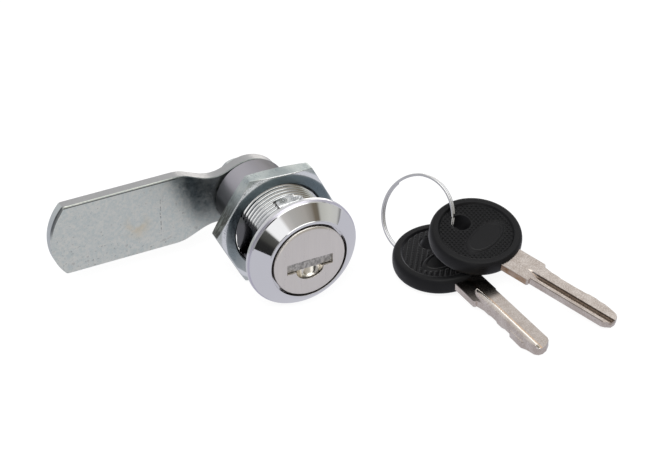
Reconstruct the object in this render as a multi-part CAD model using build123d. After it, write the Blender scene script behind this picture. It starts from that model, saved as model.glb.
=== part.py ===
from build123d import *
import math
import os

# Cam lock with its two keys, in millimetres. The barrel axis is Y, the face looks along -Y and
# the cam arm points along -X. The origin is on the axis, in the plane where the bezel seats.

# Allowances shared by several pieces
running_gap = 0.05
cut_over = 1.0
fuse_depth = 0.2

# Housing: threaded barrel with two flats and a bezel
bezel_nut_overlap = 0.1
bezel_edge = 0.75
bezel_rear_round = 0.1
bezel_shoulder_inset = 0.44
bezel_shoulder_y = -1.3
lip_radius = 8.95
lip_y = -3.93
lip_front_y = -4.1
lip_width = 0.2
face_y = -4.42
head_bore_radius = 8.35
head_bore_floor_y = -1.1
thread_radius = 9.5
collar_length = 0.6
thread_pitch = 1.0
thread_depth = 0.6
thread_root_half = 0.44
thread_crest_half = 0.07
thread_start_y = 0.9
thread_end_y = 13.0
flats_width = 16.0
tail_radius = 7.86
housing_rear_y = 23.4
plug_bore_radius = 6.5
recess_width = 6.0
recess_start_y = 2.0
recess_end_y = 6.0
recess_floor_z = 7.85
dimple_radius = 1.3
dimple_spread = 1.5
dimple_depth = 0.22

# Stop between the housing's lug and the stop washer: it lets the plug turn a quarter turn
stop_washer_thickness = 0.55
stop_washer_radius = 7.2
stop_track_radius = 5.7
stop_lug_inner_radius = 6.6
stop_lug_height = 0.45
stop_lug_angle = 30.0
stop_travel_angle = 90.0
stop_slack_angle = 2.0

# Mounting nut
nut_wall = 2.5
nut_front_y = 9.5
nut_thickness = 3.3
nut_turn = -3.3
nut_clearance = 0.05
nut_face_over = 0.25
nut_chamfer_angle = 15.0
nut_bore_chamfer = 0.35

# Plug and face cap
plug_head_radius = 7.45
plug_dish_radius = 3.0
plug_dish_centre = 0.9
cap_radius = 8.0
cap_thickness = 0.5
cap_skirt_length = 2.6
cap_edge_radius = 0.45
cap_edge_steps = 6
slot_length = 10.06
slot_height = 2.3
slot_centre_z = -0.73
notch_half_width = 3.0
notch_depth = 2.2

# Shutter, its hinge pin and its spring
shutter_thickness = 0.45
shutter_end_cover = 0.12
shutter_low_gap = 0.12
shutter_front_gap = 0.06
shutter_barrel_radius = 0.7
shutter_hinge_z = 1.35
shutter_pin_radius = 0.35
shutter_pin_length = 13.0
shutter_pin_end_gap = 0.1
shutter_spring_half = 1.1
shutter_spring_wire = 0.11
shutter_spring_turns = 3.5
shutter_spring_end_gap = 0.2
shutter_spring_gap = 0.03
pocket_end_y = 0.3
pocket_end_gap = 0.2
pocket_low_gap = 0.25
pocket_high_gap = 0.15

# Keyway and wafers
keyway_half_width = 3.9
keyway_height = 2.1
keyway_end_y = 16.6
rib_groove_radius = 1.35
rib_groove_rise = 0.2
wafer_count = 6
wafer_pitch = 2.15
wafer_first_y = 1.6
wafer_thickness = 1.2
wafer_gap = 0.06
wafer_low_z = -3.3
wafer_high_z = 1.55
wafer_window_half = 3.1
wafer_window_shifts = [-0.19, -0.06, 0.06, 0.19, -0.19, -0.06]
wafer_window_low_gap = 0.45
wafer_ear_x = -4.0
wafer_ear_length = 1.0
wafer_ear_high_z = 3.6
wafer_lift = 0.6
wafer_lift_gap = 0.2
wafer_groove_depth = 0.65
wafer_groove_gap = 0.15
wafer_groove_rear_gap = 1.45
wafer_spring_radius = 0.5
wafer_spring_wire = 0.11
wafer_spring_turns = 3.5
wafer_spring_z = 2.75
wafer_spring_end_x = 1.6
wafer_spring_end_gap = 0.01

# Cam and its fixing at the back
drive_square = 8.0
drive_corner_radius = 5.12
drive_recess = 0.1
cam_thickness = 2.4
cam_edge_chamfer = 0.2
cam_hub_radius = 7.9
cam_hub_join_angle = 135.0
cam_width = 16.2
cam_tip_x = -44.0
cam_corner_x = -40.9
cam_bend_x = -17.2
cam_neck_x = -12.9
cam_neck_drop = 0.8
cam_waist_x = -10.0
cam_waist_width = 12.6
screw_radius = 2.5
screw_gap = 0.02
screw_length = 8.6
screw_hole_depth = 9.0
screw_head_across_flats = 8.0
screw_head_height = 3.5
screw_head_chamfer = 0.6
screw_cross_half_length = 2.3
screw_cross_half_width = 0.4
screw_cross_depth = 1.3
spring_washer_outer = 4.4
spring_washer_gap = 0.1
spring_washer_thickness = 1.1
spring_washer_split = 0.9
spring_washer_split_angle = 25.0

# Key bow: a round plastic bow with a slotted eye. X runs along the blade.
bow_radius = 9.6
bow_thickness = 3.7
bow_rim_round = 1.2
bow_rim_steps = 5
bow_rim_width = 1.7
bow_rim_slope = 0.35
bow_recess = 0.5
eye_radius = 2.05
eye_half_slot = 0.85
eye_offset = 3.87
eye_edge = 0.35
eye_flare = 0.8
emblem_half_length = 5.4
emblem_half_width = 2.7
emblem_height = 0.2
emblem_offset = 2.2
emblem_turn = 92.0

# Key blade: a stamped strip with a rib on one side and a groove on the other
blade_thickness = 1.7
tongue_start_x = 1.0
tongue_end_x = 7.0
tongue_low_y = -1.8
tongue_high_y = 2.75
tongue_taper = 0.6
shank_low_y = -2.4
shank_high_y = 3.65
shank_corner = 0.3
shoulder_x = 15.3
shoulder_step = 0.25
shoulder_lag = 0.5
blade_tip_x = 34.5
blade_low_y = -1.5
blade_high_y = 3.3
tip_length = 2.7
tip_nose = 0.6
rib_y = -0.3
rib_radius = 1.0
rib_height = 0.75
rib_end_gap = 0.8
rib_root = 1.0
blade_groove_radius = 0.75
blade_groove_sink = 0.1
blade_step_width = 0.25
blade_step_depth = 0.15
blade_step_edge = 1.05
cut_width = 1.5
cut_first_gap = 1.6
cut_last_gap = 3.4
cut_base = 0.35
cut_slope = 0.1
cut_depths_a = [0.45, 0.6, 0.6, 0.55, 0.35, 0.5]
cut_depths_b = [0.55, 0.75, 0.5, 0.75, 0.2, 0.15]

# Key ring: nearly two turns of round wire
ring_radius = 8.3
ring_wire_radius = 0.28
ring_turn_gap = 0.03
ring_turns = 1.82
ring_start_angle = 140.0

# Where the loose pieces lie: position of the bow centre or ring centre, then the directions of
# the piece's own X axis and Z axis.
key_a_at = (36.6566, -6.5454, -4.0345)
key_a_x = (0.45005, -0.8723, -0.19119)
key_a_z = (0.03566, 0.23148, -0.97219)
key_b_at = (29.7617, -3.864, -9.0424)
key_b_x = (0.10205, -0.99285, -0.06188)
key_b_z = (-0.05899, -0.06814, 0.99593)
ring_at = (29.7671, 5.459, -3.9438)
ring_x = (0.57133, -0.76674, 0.29273)
ring_z = (-0.7787, -0.39376, 0.48845)

# Sizes that follow from others, and planes that several pieces meet
nut_across_flats = 2 * (thread_radius + nut_wall)
bezel_radius = nut_across_flats / 2 + bezel_nut_overlap
thread_core_radius = thread_radius - thread_depth
cap_rear_y = face_y + cap_thickness
shutter_pin_y = cap_rear_y + shutter_barrel_radius + shutter_front_gap
slot_low_z = slot_centre_z - slot_height / 2
plug_rear_y = housing_rear_y + running_gap
cam_front_y = plug_rear_y + stop_washer_thickness
cam_rear_y = cam_front_y + cam_thickness
screw_head_y = cam_rear_y + spring_washer_thickness
pocket_half_length = slot_length / 2 + shutter_end_cover + pocket_end_gap
low_shoulder_x = shoulder_x + shoulder_lag


def rod(radius, y_from, y_to):
    """Cylinder along the barrel axis between two Y positions."""
    return Pos(0, (y_from + y_to) / 2, 0) * Rot(90, 0, 0) * Cylinder(radius, y_to - y_from)


def cross_rod(radius, length, y, z):
    """Cylinder along X, centred on the lock."""
    return Pos(0, y, z) * Rot(0, 90, 0) * Cylinder(radius, length)


def block(x_from, x_to, y_from, y_to, z_from, z_to):
    """Box given by its limits."""
    box = Box(x_to - x_from, y_to - y_from, z_to - z_from)
    return Pos((x_from + x_to) / 2, (y_from + y_to) / 2, (z_from + z_to) / 2) * box


def turned(points):
    """Solid turned about Y from (radius, y) points."""
    return revolve(make_face(Polyline(*points, close=True)), Axis.Y)


def plate(outline_sketch, y_from, y_to):
    """Plate with its outline in X and Z, from y_from to y_to."""
    plane = Plane(origin=(0, y_from, 0), x_dir=(1, 0, 0), z_dir=(0, -1, 0))
    return extrude(plane * outline_sketch, -(y_to - y_from))


def annular_sector(inner, outer, start_angle, sweep_angle):
    """Sketch of a ring sector, with true arcs."""
    first = math.radians(start_angle)
    middle = math.radians(start_angle + sweep_angle / 2)
    last = math.radians(start_angle + sweep_angle)
    far = [(outer * math.cos(a), outer * math.sin(a)) for a in (first, middle, last)]
    near = [(inner * math.cos(a), inner * math.sin(a)) for a in (last, middle, first)]
    edges = [ThreePointArc(*far), Line(far[2], near[0]), ThreePointArc(*near), Line(near[2], far[0])]
    return make_face(Curve() + edges)


def hexagon_radius(across_flats):
    """Radius to the corners of a hexagon."""
    return across_flats / 2 / math.cos(math.pi / 6)


def rounded_corner(radius, height, corner, steps):
    """Points of a quarter round that ends flush with a radius and a height."""
    angles = [math.pi / 2 * step / steps for step in range(steps + 1)]
    return [(radius - corner + corner * math.sin(a), height - corner + corner * math.cos(a)) for a in angles]


def thread_ridge():
    """Helical ridge of the barrel thread, built along Z and then laid along Y."""
    root = thread_core_radius - running_gap
    top = thread_radius - root
    wide = thread_root_half * thread_pitch
    narrow = thread_crest_half * thread_pitch
    helix = Helix(thread_pitch, thread_end_y - thread_start_y - thread_pitch, root)
    profile = make_face(Polyline((0, -wide), (top, -narrow), (top, narrow), (0, wide), close=True))
    start = Plane(origin=helix @ 0, x_dir=(1, 0, 0), z_dir=helix % 0)
    ridge = sweep(start * profile, path=helix, is_frenet=True)
    return Pos(0, thread_start_y + thread_pitch / 2, 0) * Rot(-90, 0, 0) * ridge


def barrel():
    """Barrel with its collar, thread, two flats and smooth tail, still solid inside."""
    body = turned([
        (0, 0), (thread_radius, 0), (thread_radius, collar_length),
        (thread_core_radius, collar_length), (thread_core_radius, thread_end_y),
        (tail_radius, thread_end_y + thread_core_radius - tail_radius),
        (tail_radius, housing_rear_y), (0, housing_rear_y)])
    body = body + thread_ridge()
    half = flats_width / 2
    return body & block(-half, half, -cut_over, housing_rear_y, -thread_radius, thread_radius)


def bezel():
    """Cone-shaped bezel with a thin lip round the plug's head, still solid inside."""
    return turned([
        (0, 0), (bezel_radius - bezel_rear_round, 0), (bezel_radius, -bezel_rear_round),
        (bezel_radius, -bezel_edge), (bezel_radius - bezel_shoulder_inset, bezel_shoulder_y),
        (lip_radius, lip_y), (lip_radius - lip_width, lip_front_y), (0, lip_front_y)])


def casting_recess():
    """Recess on top of the thread with two round dimples in its floor."""
    pocket = block(-recess_width / 2, recess_width / 2, recess_start_y, recess_end_y,
                   recess_floor_z, thread_radius + cut_over)
    middle = (recess_start_y + recess_end_y) / 2
    centre_z = recess_floor_z + dimple_radius - dimple_depth
    for side in (-1, 1):
        pocket = pocket + Pos(side * dimple_spread, middle, centre_z) * Sphere(dimple_radius)
    return pocket


def stop_lug():
    """Lug on the housing's rear end that the stop washer turns against."""
    sector = annular_sector(stop_lug_inner_radius, stop_washer_radius,
                            180 - stop_lug_angle / 2, stop_lug_angle)
    return plate(sector, housing_rear_y - fuse_depth, housing_rear_y + stop_lug_height)


def housing():
    """Die-cast housing: barrel and bezel, bored for the plug and grooved for the wafers."""
    body = barrel() + bezel()
    body = body - rod(plug_bore_radius, face_y - cut_over, housing_rear_y + cut_over)
    body = body - rod(head_bore_radius, face_y - cut_over, head_bore_floor_y)
    reach = plug_bore_radius + wafer_groove_depth
    half = max(wafer_high_z, -wafer_low_z) + wafer_groove_gap
    end = wafer_y(wafer_count - 1) + wafer_groove_rear_gap
    body = body - block(-reach, reach, head_bore_floor_y, end, -half, half)
    body = body - block(-half, half, head_bore_floor_y, end, -reach, reach)
    body = body - casting_recess()
    return body + stop_lug()


def mounting_nut():
    """Hexagon nut with chamfered corners. Its bore just clears the thread's crests."""
    corner = hexagon_radius(nut_across_flats)
    rear_y = nut_front_y + nut_thickness
    body = plate(RegularPolygon(corner, 6, rotation=nut_turn), nut_front_y, rear_y)
    face = nut_across_flats / 2 + nut_face_over
    outer = corner + cut_over
    drop = math.tan(math.radians(nut_chamfer_angle)) * (outer - face)
    rounded = turned([(0, nut_front_y), (face, nut_front_y), (outer, nut_front_y + drop),
                      (outer, rear_y - drop), (face, rear_y), (0, rear_y)])
    bore = thread_radius + nut_clearance
    mouth = bore + nut_bore_chamfer + cut_over
    hole = turned([
        (0, nut_front_y - cut_over), (mouth, nut_front_y - cut_over),
        (bore, nut_front_y + nut_bore_chamfer), (bore, rear_y - nut_bore_chamfer),
        (mouth, rear_y + cut_over), (0, rear_y + cut_over)])
    return (body & rounded) - hole


def keyway_section():
    """Keyway outline in X and Z: a flat slot with a half-round groove for the key's rib."""
    slot = Pos(0, slot_centre_z) * Rectangle(2 * keyway_half_width, keyway_height)
    groove_z = slot_centre_z - keyway_height / 2 + rib_groove_rise
    return slot + Pos(0, groove_z) * Circle(rib_groove_radius)


def shutter_pocket():
    """Pocket behind the cap in which the shutter swings inwards, with the hole for its pin."""
    high = shutter_hinge_z + shutter_barrel_radius + pocket_high_gap
    room = block(-pocket_half_length, pocket_half_length, cap_rear_y - cut_over, pocket_end_y,
                 slot_low_z - pocket_low_gap, high)
    length = shutter_pin_length + 2 * shutter_pin_end_gap
    return room + cross_rod(shutter_pin_radius, length, shutter_pin_y, shutter_hinge_z)


def wafer_y(index):
    """Middle of a wafer along the barrel."""
    return wafer_first_y + wafer_pitch * index


def wafer_slot(index):
    """Cross slot for one wafer, with the pocket for its spring."""
    front = wafer_y(index) - wafer_thickness / 2 - wafer_gap
    rear = wafer_y(index) + wafer_thickness / 2 + wafer_gap
    reach = plug_bore_radius + cut_over
    high = wafer_high_z + wafer_gap
    slot = block(-reach, reach, front, rear, wafer_low_z - wafer_gap, high)
    pocket = block(wafer_ear_x - wafer_lift - wafer_lift_gap, wafer_spring_end_x, front, rear,
                   high - fuse_depth, wafer_ear_high_z + wafer_gap)
    return slot + pocket


def plug():
    """Turning plug with keyway, shutter pocket, wafer slots, spring pockets and square drive."""
    body = rod(plug_head_radius, cap_rear_y, head_bore_floor_y - running_gap)
    body = body + rod(plug_bore_radius - running_gap, cap_rear_y, plug_rear_y)
    drive_end = cam_rear_y - drive_recess
    half = drive_square / 2
    drive = block(-half, half, plug_rear_y - fuse_depth, drive_end, -half, half)
    body = body + (drive & rod(drive_corner_radius, plug_rear_y - fuse_depth, drive_end))
    body = body - plate(keyway_section(), cap_rear_y - cut_over, keyway_end_y)
    body = body - shutter_pocket()
    body = body - Pos(0, cap_rear_y - plug_dish_centre, slot_low_z) * Sphere(plug_dish_radius)
    for index in range(wafer_count):
        body = body - wafer_slot(index)
    return body - rod(screw_radius, drive_end - screw_hole_depth, drive_end + cut_over)


def face_cap():
    """Pressed stainless cap with a rolled edge and the key slot with its half-round notch."""
    rear = face_y + cap_skirt_length
    round_edge = rounded_corner(cap_radius, -face_y, cap_edge_radius, cap_edge_steps)
    shell = turned([(0, face_y), *[(radius, -height) for radius, height in round_edge],
                    (cap_radius, rear), (plug_head_radius, rear),
                    (plug_head_radius, cap_rear_y), (0, cap_rear_y)])
    slot = Pos(0, slot_centre_z) * Rectangle(slot_length, slot_height)
    notch = Pos(0, slot_low_z) * Ellipse(notch_half_width, notch_depth)
    return shell - plate(slot + notch, face_y - cut_over, cap_rear_y + fuse_depth)


def shutter():
    """Sprung dust shutter: a flat plate rolled round its hinge pin."""
    front = cap_rear_y + shutter_front_gap
    half = slot_length / 2 + shutter_end_cover
    leaf = block(-half, half, front, front + shutter_thickness,
                 slot_low_z + shutter_low_gap, shutter_hinge_z)
    body = leaf + cross_rod(shutter_barrel_radius, 2 * half, shutter_pin_y, shutter_hinge_z)
    body = body - cross_rod(shutter_pin_radius + running_gap, 2 * half + cut_over, shutter_pin_y,
                            shutter_hinge_z)
    reach = shutter_barrel_radius + running_gap
    return body - block(-shutter_spring_half, shutter_spring_half, front - cut_over,
                        shutter_pin_y + cut_over, shutter_hinge_z - reach, shutter_hinge_z + reach)


def shutter_pin():
    """Hinge pin of the shutter, pressed across the plug's head."""
    return cross_rod(shutter_pin_radius, shutter_pin_length, shutter_pin_y, shutter_hinge_z)


def coil(radius, wire, turns, length):
    """Helical spring along Z, from z = 0 to length, as swept round wire."""
    helix = Helix(length / turns, length, radius)
    start = Plane(origin=helix @ 0, x_dir=(1, 0, 0), z_dir=helix % 0)
    return sweep(start * Circle(wire), path=helix, is_frenet=True)


def shutter_spring():
    """Torsion spring round the shutter's pin, in the gap of its roll."""
    length = 2 * (shutter_spring_half - shutter_spring_end_gap)
    radius = shutter_pin_radius + shutter_spring_wire + shutter_spring_gap
    body = coil(radius, shutter_spring_wire, shutter_spring_turns, length)
    return Pos(-length / 2, shutter_pin_y, shutter_hinge_z) * Rot(0, 90, 0) * body


def wafer(index):
    """One wafer, flush with the plug as it stands when the right key is in."""
    front = wafer_y(index) - wafer_thickness / 2
    rear = wafer_y(index) + wafer_thickness / 2
    body = block(-plug_bore_radius, plug_bore_radius, front, rear, wafer_low_z, wafer_high_z)
    ear = block(wafer_ear_x, wafer_ear_x + wafer_ear_length, front, rear,
                wafer_high_z - fuse_depth, wafer_ear_high_z)
    shift = wafer_window_shifts[index % len(wafer_window_shifts)]
    low = slot_centre_z - keyway_height / 2 + rib_groove_rise - rib_groove_radius
    window = block(shift - wafer_window_half, shift + wafer_window_half, front - cut_over,
                   rear + cut_over, low - wafer_window_low_gap, slot_centre_z + keyway_height / 2)
    return (body + ear - window) & rod(plug_bore_radius - 2 * running_gap, front, rear)


def wafer_spring(index):
    """Compression spring between a wafer's ear and the end of its pocket."""
    end_gap = wafer_spring_wire + wafer_spring_end_gap
    start = wafer_ear_x + wafer_ear_length + end_gap
    length = wafer_spring_end_x - end_gap - start
    body = coil(wafer_spring_radius - wafer_spring_wire, wafer_spring_wire, wafer_spring_turns, length)
    return Pos(start, wafer_y(index), wafer_spring_z) * Rot(0, 90, 0) * body


def square_hole(y_from, y_to):
    """Square hole for the plug's drive."""
    half = drive_square / 2 + running_gap
    return block(-half, half, y_from - cut_over, y_to + cut_over, -half, half)


def stop_washer():
    """Washer that turns with the plug; its cut-away side stops against the housing's lug."""
    body = rod(stop_washer_radius, plug_rear_y, cam_front_y)
    start = 180 - stop_lug_angle / 2 - stop_slack_angle
    open_angle = stop_lug_angle + stop_travel_angle + 2 * stop_slack_angle
    sector = annular_sector(stop_track_radius, stop_washer_radius + cut_over, start, open_angle)
    body = body - plate(sector, plug_rear_y - cut_over, cam_front_y + cut_over)
    return body - square_hole(plug_rear_y, cam_front_y)


def cam_outline():
    """Cam outline: straight arm with an arched tip, narrowed neck and round hub."""
    half = cam_width / 2
    waist = cam_waist_width / 2
    neck = half - cam_neck_drop
    join_angle = math.radians(cam_hub_join_angle)
    hub_x = cam_hub_radius * math.cos(join_angle)
    hub_z = cam_hub_radius * math.sin(join_angle)
    arch = ThreePointArc((cam_corner_x, half), (cam_tip_x, 0), (cam_corner_x, -half))
    bottom = Line((cam_bend_x, -half), (cam_corner_x, -half))
    rise = Spline((hub_x, -hub_z), (cam_waist_x, -waist), (cam_neck_x, -neck), (cam_bend_x, -half),
                  tangents=[(-1, 1), (-1, 0)])
    hub = ThreePointArc((hub_x, hub_z), (cam_hub_radius, 0), (hub_x, -hub_z))
    dip = Spline((cam_bend_x, half), (cam_neck_x, neck), (cam_waist_x, waist), (hub_x, hub_z),
                 tangents=[(1, 0), (1, 1)])
    top = Line((cam_corner_x, half), (cam_bend_x, half))
    return make_face(Curve() + [arch, bottom, rise, hub, dip, top])


def cam():
    """Flat steel cam clamped on the plug's square drive."""
    body = plate(cam_outline(), cam_front_y, cam_rear_y)
    front_edges = body.faces().sort_by(Axis.Y)[0].edges()
    return chamfer(front_edges, cam_edge_chamfer) - square_hole(cam_front_y, cam_rear_y)


def spring_washer():
    """Split washer under the screw head."""
    body = rod(spring_washer_outer, cam_rear_y, screw_head_y)
    body = body - rod(screw_radius + spring_washer_gap, cam_rear_y - cut_over, screw_head_y + cut_over)
    half = spring_washer_split / 2
    split = block(-half, half, -spring_washer_thickness, spring_washer_thickness, 0,
                  spring_washer_outer + cut_over)
    return body - Pos(0, (cam_rear_y + screw_head_y) / 2, 0) * Rot(0, 0, spring_washer_split_angle) * split


def cam_screw():
    """Hexagon-head screw with a cross recess that clamps the cam."""
    corner = hexagon_radius(screw_head_across_flats)
    top = screw_head_y + screw_head_height
    face = screw_head_across_flats / 2
    head = plate(RegularPolygon(corner, 6), screw_head_y, top)
    head = head & turned([(0, screw_head_y), (corner, screw_head_y), (corner, top - screw_head_chamfer),
                          (face, top), (0, top)])
    body = head + rod(screw_radius - screw_gap, screw_head_y - screw_length, screw_head_y + fuse_depth)
    bottom = top - screw_cross_depth
    slot = block(-screw_cross_half_length, screw_cross_half_length, bottom, top + cut_over,
                 -screw_cross_half_width, screw_cross_half_width)
    return body - slot - Rot(0, 90, 0) * slot


def lying(at, x_dir, z_dir):
    """Placement of a loose piece."""
    return Location(Plane(origin=at, x_dir=x_dir, z_dir=z_dir))


def blade_outline(depths):
    """Blade outline with its cuts on the low-Y edge, from the tongue in the bow to the tip."""
    points = [(tongue_start_x, tongue_high_y), (tongue_start_x, tongue_low_y), (tongue_end_x, tongue_low_y),
              (tongue_end_x + tongue_taper, shank_low_y), (low_shoulder_x - shank_corner, shank_low_y),
              (low_shoulder_x, shank_low_y + shank_corner), (low_shoulder_x, blade_low_y - shoulder_step)]
    first = low_shoulder_x + cut_first_gap
    step = (blade_tip_x - cut_last_gap - first) / len(depths)
    for index, depth in enumerate(depths):
        middle = first + step * (index + 0.5)
        bottom = blade_low_y - cut_base + depth
        points = points + [(middle - cut_width / 2, bottom - cut_slope / 2),
                           (middle + cut_width / 2, bottom + cut_slope / 2)]
    points = points + [(blade_tip_x - tip_length, blade_low_y + cut_base),
                       (blade_tip_x - tip_nose, rib_y - cut_base),
                       (blade_tip_x, rib_y + tip_nose), (blade_tip_x, rib_y + 2 * tip_nose)]
    points = points + [(blade_tip_x - tip_length + tip_nose, blade_high_y), (shoulder_x, blade_high_y)]
    points = points + [(shoulder_x, shank_high_y - shank_corner), (shoulder_x - shank_corner, shank_high_y),
                       (tongue_end_x + tongue_taper, shank_high_y), (tongue_end_x, tongue_high_y)]
    return make_face(Polyline(*points, close=True))


def rounded_bar(radius, x_from, x_to, z):
    """Round bar along the blade's rib line with a ball at its bow end."""
    bar = Pos((x_from + x_to) / 2, rib_y, z) * Rot(0, 90, 0) * Cylinder(radius, x_to - x_from)
    return bar + Pos(x_from, rib_y, z) * Sphere(radius)


def key_blade(depths, place):
    """Stamped blade with a half-round rib on one side and its groove on the other."""
    half = blade_thickness / 2
    body = Pos(0, 0, -half) * extrude(blade_outline(depths), blade_thickness)
    rib_start = shoulder_x - rib_root
    rib = rounded_bar(rib_radius, rib_start, blade_tip_x - rib_end_gap, half + rib_height - rib_radius)
    rib = rib & Pos(0, 0, half + rib_radius) * Box(3 * blade_tip_x, 4 * rib_radius, 2 * rib_radius)
    groove = rounded_bar(blade_groove_radius, rib_start, blade_tip_x + cut_over, -half - blade_groove_sink)
    step_y = blade_high_y - blade_step_edge
    step = Pos((rib_start + blade_tip_x) / 2, step_y, -half)
    step = step * Box(blade_tip_x - rib_start + cut_over, blade_step_width, 2 * blade_step_depth)
    return place * (body + rib - groove - step)


def bow_solid():
    """Rounded disc with both faces recessed inside a rim."""
    half = bow_thickness / 2
    inner = bow_radius - bow_rim_width
    floor = half - bow_recess
    rim = rounded_corner(bow_radius, half, bow_rim_round, bow_rim_steps)
    upper = [(0, floor), (inner - bow_rim_slope, floor), (inner, half), *rim]
    lower = [(radius, -height) for radius, height in reversed(upper)]
    return revolve(Plane.XZ * make_face(Polyline(*upper, *lower, close=True)), Axis.Z)


def eye_hole():
    """Slotted eye for the ring, flared towards both faces."""
    half = bow_thickness / 2
    wide = eye_radius + eye_flare * (half - eye_edge)
    upper = [(eye_radius, eye_edge), (wide, half), (wide, half + cut_over)]
    lower = [(radius, -height) for radius, height in reversed(upper)]
    far = [(-radius, height) for radius, height in reversed(lower + upper)]
    axis_ends = [(0, half + cut_over), (0, -half - cut_over)]
    flared = revolve(Plane.XZ * make_face(Polyline(*axis_ends, *lower, *upper, close=True)), Axis.Z)
    section = make_face(Polyline(*lower, *upper, *far, close=True))
    hole = extrude(Plane.YZ * section, eye_half_slot, both=True)
    for side in (-1, 1):
        hole = hole + Pos(side * eye_half_slot, 0, 0) * flared
    return Pos(-eye_offset, 0, 0) * hole


def key_bow(depths, place):
    """Bow moulded round the blade's tongue, with an eye and a plain oval pad on each face."""
    body = bow_solid()
    floor = bow_thickness / 2 - bow_recess
    pad = Pos(emblem_offset, 0, -floor - emblem_height) * Rot(0, 0, emblem_turn)
    pad = pad * extrude(Ellipse(emblem_half_length, emblem_half_width), 2 * (floor + emblem_height))
    root = Pos(0, 0, -blade_thickness / 2) * extrude(blade_outline(depths), blade_thickness)
    return place * (body + pad - eye_hole() - root)


def key_ring():
    """Split ring wound from round wire, its turns side by side."""
    length = (2 * ring_wire_radius + ring_turn_gap) * ring_turns
    body = coil(ring_radius, ring_wire_radius, ring_turns, length)
    body = Rot(0, 0, ring_start_angle) * Pos(0, 0, -length / 2) * body
    return lying(ring_at, ring_x, ring_z) * body


def save(name, shape):
    """Write one named sub-part."""
    export_step(shape, "parts/" + name + ".step")


def build():
    """Build every sub-part and write it."""
    os.makedirs("parts", exist_ok=True)
    save("housing", housing())
    save("mounting_nut", mounting_nut())
    save("plug", plug())
    save("face_cap", face_cap())
    save("shutter", shutter())
    save("shutter_pin", shutter_pin())
    save("shutter_spring", shutter_spring())
    for index in range(wafer_count):
        save("wafer_" + str(index + 1), wafer(index))
        save("wafer_spring_" + str(index + 1), wafer_spring(index))
    save("stop_washer", stop_washer())
    save("cam", cam())
    save("spring_washer", spring_washer())
    save("cam_screw", cam_screw())
    place_a = lying(key_a_at, key_a_x, key_a_z)
    place_b = lying(key_b_at, key_b_x, key_b_z)
    save("key_a_blade", key_blade(cut_depths_a, place_a))
    save("key_a_bow", key_bow(cut_depths_a, place_a))
    save("key_b_blade", key_blade(cut_depths_b, place_b))
    save("key_b_bow", key_bow(cut_depths_b, place_b))
    save("key_ring", key_ring())


build()
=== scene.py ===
import bpy
import numpy as np
from mathutils import Matrix, Vector


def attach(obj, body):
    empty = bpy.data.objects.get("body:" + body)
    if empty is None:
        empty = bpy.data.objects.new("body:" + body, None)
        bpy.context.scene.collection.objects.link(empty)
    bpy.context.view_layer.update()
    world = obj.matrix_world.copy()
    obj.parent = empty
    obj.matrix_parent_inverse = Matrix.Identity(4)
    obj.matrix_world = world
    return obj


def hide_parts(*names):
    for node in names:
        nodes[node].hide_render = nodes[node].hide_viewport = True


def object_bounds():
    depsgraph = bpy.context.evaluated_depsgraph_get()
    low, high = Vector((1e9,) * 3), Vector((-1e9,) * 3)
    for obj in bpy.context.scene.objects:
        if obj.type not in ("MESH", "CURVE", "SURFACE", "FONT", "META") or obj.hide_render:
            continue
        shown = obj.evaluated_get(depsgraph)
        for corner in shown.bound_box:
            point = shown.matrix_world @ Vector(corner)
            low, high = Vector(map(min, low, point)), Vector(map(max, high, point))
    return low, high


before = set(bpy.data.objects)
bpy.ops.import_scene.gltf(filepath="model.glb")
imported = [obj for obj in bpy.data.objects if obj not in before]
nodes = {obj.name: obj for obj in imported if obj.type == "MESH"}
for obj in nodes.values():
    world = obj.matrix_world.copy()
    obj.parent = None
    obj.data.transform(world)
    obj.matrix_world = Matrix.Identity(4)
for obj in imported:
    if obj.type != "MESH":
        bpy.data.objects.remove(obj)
cad_low, cad_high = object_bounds()


# ---- Housing
# Die-cast zinc, chrome plated: a mirror-bright cone bezel with a thin lip, then a threaded barrel
# with two flats and a cast pocket, and a satin tail. The plug turns in its bore.

def skin(name, grids, body, sharp=32):
    """Mesh from grids of points in millimetres: each point joins its neighbours in the next row
    and column. Points at one place become one, which closes seams and poles, and all faces are
    turned so that the enclosed volume is positive."""
    points, quads, start = [], [], 0
    for grid in grids:
        rows, columns = grid.shape[:2]
        index = np.arange(rows * columns).reshape(rows, columns) + start
        quads.append(np.stack([index[:-1, :-1], index[:-1, 1:], index[1:, 1:], index[1:, :-1]],
                              -1).reshape(-1, 4))
        points.append(grid.reshape(-1, 3))
        start += rows * columns
    points, quads = np.concatenate(points), np.concatenate(quads)
    merge_digits = 4
    _, first, joined = np.unique(np.round(points, merge_digits), axis=0, return_index=True,
                                 return_inverse=True)
    points, quads = points[first], joined.reshape(-1)[quads]
    a, b, c, d = (points[quads[:, k]] for k in range(4))
    volume = (np.cross(a, b) * c).sum() + (np.cross(a, c) * d).sum()
    if volume < 0:
        quads = quads[:, ::-1]
    faces = []
    for quad in quads.tolist():
        kept = [v for k, v in enumerate(quad) if v != quad[k - 1]]
        if len(set(kept)) == len(kept) > 2:
            faces.append(kept)
    mesh = bpy.data.meshes.new(name)
    mesh.from_pydata((points / 1000).tolist(), [], faces)
    mesh.validate()
    mesh.shade_smooth()
    mesh.set_sharp_from_angle(angle=np.radians(sharp))
    piece = bpy.data.objects.new(name, mesh)
    bpy.context.scene.collection.objects.link(piece)
    even = piece.modifiers.new("even_shading", "WEIGHTED_NORMAL")
    even.keep_sharp = True
    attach(piece, body)
    return piece


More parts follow.
